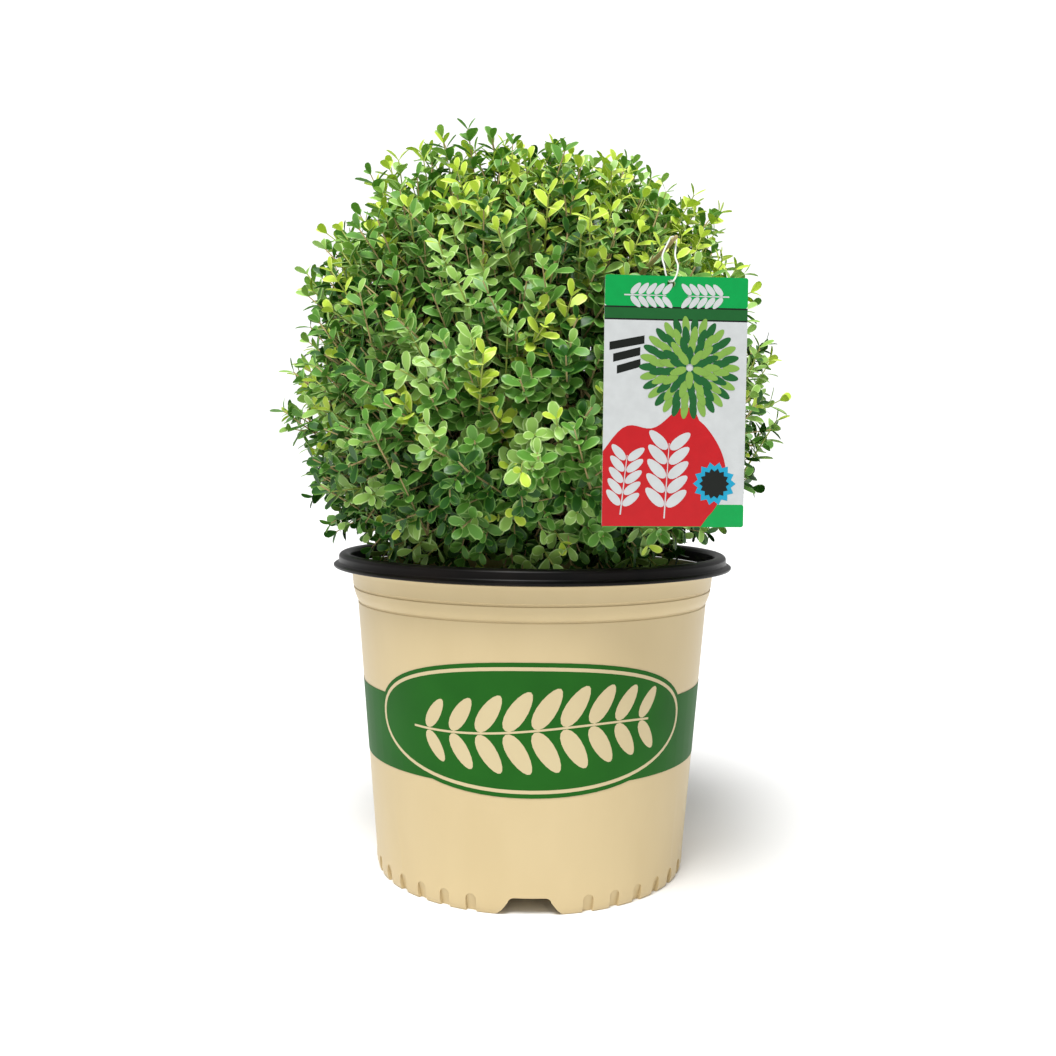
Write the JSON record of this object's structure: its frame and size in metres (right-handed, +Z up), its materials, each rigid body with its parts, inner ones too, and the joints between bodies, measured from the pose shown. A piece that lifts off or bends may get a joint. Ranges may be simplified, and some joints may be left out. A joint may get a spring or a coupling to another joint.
{
  "type": "potted boxwood shrub",
  "caption": "Evergreen shrub clipped to a ball in a round nursery pot with a rolled rim, a fluted foot and a hang tag on a loop.",
  "frame": {"origin": "middle of the pot's foot, on the ground", "axes": "+Z up along the pot's axis, the front with the hang tag faces -Y, and +X is on the viewer's right"},
  "size_m": [0.3525, 0.3413, 0.513],
  "materials": {
    "cream_plastic": "satin",
    "black_plastic": "gloss",
    "potting_mix": "matte",
    "bark": "matte",
    "foliage_green": "satin",
    "foliage_light_green": "satin",
    "foliage_deep_green": "satin",
    "printed_card": "satin",
    "white_elastic": "matte"
  },
  "bodies": {
    "root": {"pot": "cream_plastic", "pot_rim": "black_plastic", "soil": "potting_mix", "main_stem": "bark", "bough_top": "bark", "bough_upper_1": "bark", "bough_upper_2": "bark", "bough_upper_3": "bark", "bough_upper_4": "bark", "bough_upper_5": "bark", "bough_lower_1": "bark", "bough_lower_2": "bark", "bough_lower_3": "bark", "bough_lower_4": "bark", "bough_lower_5": "bark", "bough_lower_6": "bark", "bough_lower_7": "bark", "foliage_top": "foliage_green", "foliage_upper_1": "foliage_light_green", "foliage_upper_2": "foliage_deep_green", "foliage_upper_3": "foliage_green", "foliage_upper_4": "foliage_light_green", "foliage_upper_5": "foliage_deep_green", "foliage_lower_1": "foliage_green", "foliage_lower_2": "foliage_light_green", "foliage_lower_3": "foliage_deep_green", "foliage_lower_4": "foliage_green", "foliage_lower_5": "foliage_light_green", "foliage_lower_6": "foliage_deep_green", "foliage_lower_7": "foliage_green", "tag_card": "printed_card", "tag_loop": "white_elastic"}
  },
  "joints": []
}
